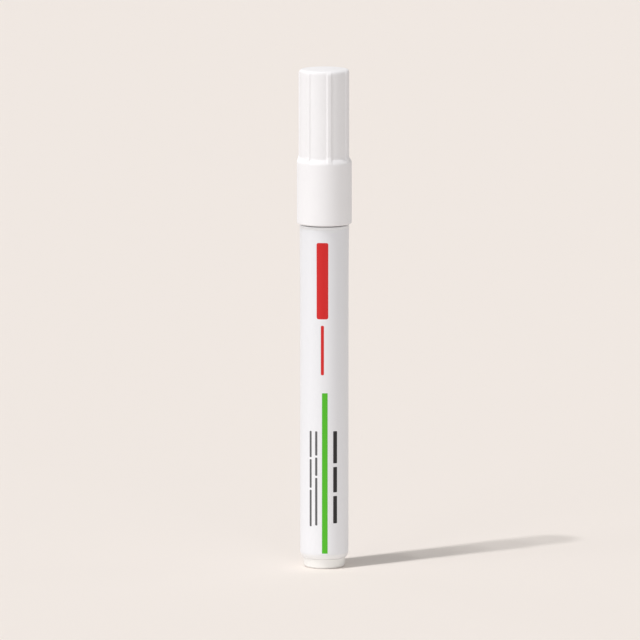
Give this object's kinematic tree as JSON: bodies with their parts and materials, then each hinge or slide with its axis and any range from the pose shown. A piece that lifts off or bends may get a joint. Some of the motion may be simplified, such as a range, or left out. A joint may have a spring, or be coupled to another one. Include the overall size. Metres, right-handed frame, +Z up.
{
  "type": "nail primer pen",
  "caption": "Slim white cosmetic pen that stands on its foot: round printed barrel, valve-fed felt tip under a pull-off cap with a ribbed grip and a wider smooth skirt.",
  "frame": {"origin": "centre of the foot's resting face, on the pen's axis", "axes": "+Z up along the pen's axis, from the foot to the cap; the printed side with the green stripe faces -Y"},
  "size_m": [0.0136, 0.0136, 0.125],
  "materials": {
    "barrel_plastic": "satin white moulded plastic",
    "label_film": "white printed film with a green stripe and plain bars",
    "plug_plastic": "satin white moulded plastic",
    "primer": "clear thin liquid",
    "nose_plastic": "satin white moulded plastic",
    "valve_plastic": "natural moulded plastic",
    "gasket_foam": "soft foamed seal",
    "stem_plastic": "natural moulded plastic",
    "seal_rubber": "black rubber",
    "spring_steel": "bright spring wire",
    "felt": "bonded felt",
    "cap_plastic": "satin white moulded plastic",
    "liner_plastic": "soft natural moulded plastic"
  },
  "bodies": {
    "barrel": {"barrel": "barrel_plastic", "label_sleeve": "label_film", "end_plug": "plug_plastic", "primer_fluid": "primer", "nose_cone": "nose_plastic", "valve_housing": "valve_plastic", "flange_gasket": "gasket_foam", "valve_spring": "spring_steel"},
    "tip": {"nib": "felt", "valve_stem": "stem_plastic", "valve_seal": "seal_rubber"},
    "cap": {"cap_shell": "cap_plastic", "cap_liner": "liner_plastic"}
  },
  "joints": [
    {"name": "cap_pull", "type": "slide", "parent": "barrel", "child": "cap", "axis": [0, 0, 1], "range_m": [0, 0.045]},
    {"name": "nib_press", "type": "slide", "parent": "barrel", "child": "tip", "axis": [0, 0, -1], "range_m": [0, 0.0015], "stiffness_N_per_m": 900, "deforming": ["valve_spring"]}
  ]
}
